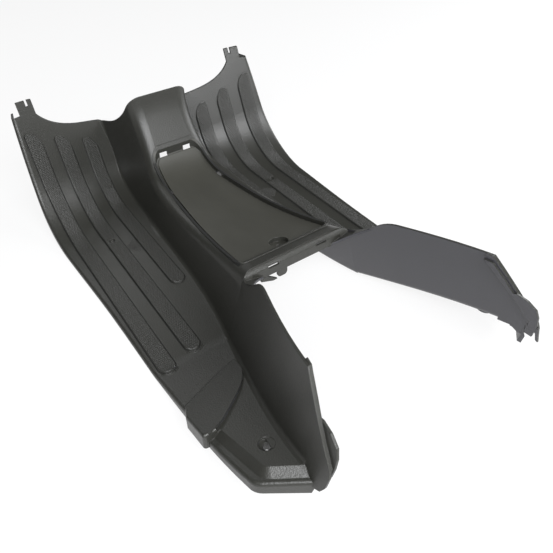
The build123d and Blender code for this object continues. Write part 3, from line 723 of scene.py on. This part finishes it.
class FLOORBOARD_OT_trim_wing_feet(bpy.types.Operator):
    """Draw the wing feet back to the rear panels and shorten the right bolt tube, on a copy of the part"""
    bl_idname = "floorboard.trim_wing_feet"
    bl_label = "Trim Wing Feet"

    def execute(self, context):
        foot = context.scene.floorboard_foot
        mesh, normals = self.merged_copy(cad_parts["floorboard"].data)
        tube = Vector(foot.tube)
        moved = set()
        for vertex in mesh.vertices:
            point = vertex.co
            if point.z < foot.tube_end and (point.xy - tube).length < foot.tube_radius:
                vertex.co.z = foot.tube_end
                continue
            slide = self.overhang(foot, abs(point.x), point.y, point.z)
            if slide > 0.0:
                aside = copysign(foot.turn * slide, point.x)
                vertex.co += Vector((-aside, slide, -foot.slope * slide))
                moved.add(vertex.index)
        if not moved:
            raise RuntimeError("no foot was found over the bevel")
        for polygon in mesh.polygons:
            if moved.intersection(polygon.vertices):
                for corner in polygon.loop_indices:
                    normals[corner] = polygon.normal
        mesh.normals_split_custom_set(normals)
        piece = bpy.data.objects.new("moulding", mesh)
        context.scene.collection.objects.link(piece)
        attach(piece, "root")
        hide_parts("floorboard")
        return {"FINISHED"}

    def overhang(self, foot, x, y, z):
        """How far a foot's point slides forward to reach the edge of its panel, and 0 for other points."""
        if not (foot.rear < y < foot.front and foot.inner < x < foot.outer):
            return 0.0
        above = z - foot.floor - foot.slope * (foot.ramp - y)
        if not -foot.depth < above < foot.rise:
            return 0.0
        corner_x, corner_y = foot.corner
        length = (1 + foot.rake ** 2) ** 0.5
        past = (corner_y - foot.rake * (corner_x - x) - y) / length
        goal = max(-above, 0.0) - FOOT_INSET
        return max(past - goal, 0.0) * length / (1 + foot.rake * foot.turn)

    def merged_copy(self, source):
        """Copy of a mesh of loose triangles with its corners joined, and the normals of its corners."""
        mesh = source.copy()
        mesh.name = "moulding"
        flat = [0.0] * (3 * len(mesh.loops))
        mesh.corner_normals.foreach_get("vector", flat)
        mesh.attributes.new("facing", "FLOAT_VECTOR", "CORNER").data.foreach_set("vector", flat)
        shape = bmesh.new()
        shape.from_mesh(mesh)
        bmesh.ops.remove_doubles(shape, verts=shape.verts, dist=MERGE_DISTANCE)
        shape.to_mesh(mesh)
        shape.free()
        flat = [0.0] * (3 * len(mesh.loops))
        mesh.attributes["facing"].data.foreach_get("vector", flat)
        mesh.attributes.remove(mesh.attributes["facing"])
        return mesh, [flat[i:i + 3] for i in range(0, len(flat), 3)]


class FLOORBOARD_OT_set_stage(bpy.types.Operator):
    """Set the white floor, the soft lamps and the camera"""
    bl_idname = "floorboard.set_stage"
    bl_label = "Set Stage"

    def execute(self, context):
        scene = context.scene
        stage = scene.floorboard_stage
        scene.view_settings.view_transform = "Standard"
        self.lay_floor(scene, stage)
        self.light_sky(scene, stage)
        for name, way in LAMP_WAYS.items():
            self.add_lamp(scene, stage, name, Vector(way).normalized())
        self.set_camera(scene, stage)
        return {"FINISHED"}

    def lay_floor(self, scene, stage):
        """White floor that is mostly plain white to the camera."""
        half = stage.floor
        mesh = bpy.data.meshes.new("studio_floor")
        corners = [(-half, -half, 0), (half, -half, 0), (half, half, 0), (-half, half, 0)]
        mesh.from_pydata(corners, [], [(0, 1, 2, 3)])
        floor = bpy.data.objects.new("studio_floor", mesh)
        scene.collection.objects.link(floor)
        material = bpy.data.materials.new("studio_white")
        graph = emptied_graph(material)
        place = graph.node("ShaderNodeTexCoord", out="Object")
        cloud = graph.noise(place, FLOOR_CLOUD_SCALE, detail=2.0, roughness=0.5)
        white = graph.shaded(cloud, stage.floor_colour, FLOOR_SHADES)
        matt = graph.node("ShaderNodeBsdfDiffuse", {}, {"Color": white})
        plain = graph.node("ShaderNodeEmission", {}, {"Color": WHITE, "Strength": 1.0})
        seen, mirrored, through = graph.outputs(
            "ShaderNodeLightPath", {}, {}, ("Is Camera Ray", "Is Glossy Ray", "Is Transmission Ray"),
        )
        share = stage.backdrop * (seen + mirrored + through).clamped()
        both = graph.node("ShaderNodeMixShader", {}, {0: share, 1: matt, 2: plain})
        graph.add("ShaderNodeOutputMaterial", {}, {"Surface": both})
        mesh.materials.append(material)

    def light_sky(self, scene, stage):
        """Sky that is white to the camera and gives a little light."""
        scene.world = bpy.data.worlds.new("studio")
        graph = emptied_graph(scene.world)
        seen = graph.node("ShaderNodeLightPath", out="Is Camera Ray")
        power = seen * (1.0 - stage.sky) + stage.sky
        sky = graph.node("ShaderNodeBackground", {}, {"Color": WHITE, "Strength": power})
        graph.add("ShaderNodeOutputWorld", {}, {"Surface": sky})

    def add_lamp(self, scene, stage, name, way):
        """Square lamp that looks at the part from the given way."""
        data = bpy.data.lights.new(name + "_lamp", "AREA")
        data.shape = "SQUARE"
        data.size = stage.lamp_size
        data.energy = getattr(stage, name)
        data.color = LAMP_COLOUR
        lamp = bpy.data.objects.new(name + "_lamp", data)
        lamp.location = Vector(LAMP_AIM) + stage.lamp_distance * way
        lamp.rotation_euler = (-way).to_track_quat("-Z", "Y").to_euler()
        scene.collection.objects.link(lamp)

    def set_camera(self, scene, stage):
        """Camera at the place and angle of the photo."""
        camera = bpy.data.cameras.new("camera")
        camera.sensor_width = SENSOR_WIDTH
        camera.lens = stage.lens
        camera.clip_end = FAR_SIGHT
        view = bpy.data.objects.new("camera", camera)
        turn = Matrix.Rotation(-stage.azimuth, 4, "Z") @ Matrix.Rotation(pi / 2 - stage.elevation, 4, "X")
        view.matrix_world = Matrix.Translation(stage.camera) @ turn
        scene.collection.objects.link(view)
        scene.camera = view


class FLOORBOARD_PT_tools(bpy.types.Panel):
    """Steps that dress the floorboard"""
    bl_idname = "FLOORBOARD_PT_tools"
    bl_label = "Floorboard"
    bl_space_type = "VIEW_3D"
    bl_region_type = "UI"
    bl_category = "Floorboard"

    def draw(self, context):
        for operator in operators:
            self.layout.operator(operator.bl_idname)
        for group_name, kind in groups.items():
            box = self.layout.box()
            for name in kind.__annotations__:
                box.prop(getattr(context.scene, group_name), name)


groups = {
    "floorboard_finish": FloorboardFinish,
    "floorboard_tread": FloorboardTread,
    "floorboard_foot": FloorboardFoot,
    "floorboard_stage": FloorboardStage,
}
operators = (
    FLOORBOARD_OT_finish_moulding,
    FLOORBOARD_OT_add_tread_studs,
    FLOORBOARD_OT_add_strip_ends,
    FLOORBOARD_OT_trim_wing_feet,
    FLOORBOARD_OT_set_stage,
)
classes = (*groups.values(), *operators, FLOORBOARD_PT_tools)


def register():
    for item in classes:
        bpy.utils.register_class(item)
    for name, kind in groups.items():
        setattr(bpy.types.Scene, name, PointerProperty(type=kind))


def unregister():
    for name in groups:
        delattr(bpy.types.Scene, name)
    for item in reversed(classes):
        bpy.utils.unregister_class(item)


def main():
    register()
    bpy.ops.floorboard.finish_moulding()
    bpy.ops.floorboard.add_tread_studs()
    bpy.ops.floorboard.add_strip_ends()
    bpy.ops.floorboard.trim_wing_feet()
    bpy.ops.floorboard.set_stage()


if __name__ == "__main__":
    main()
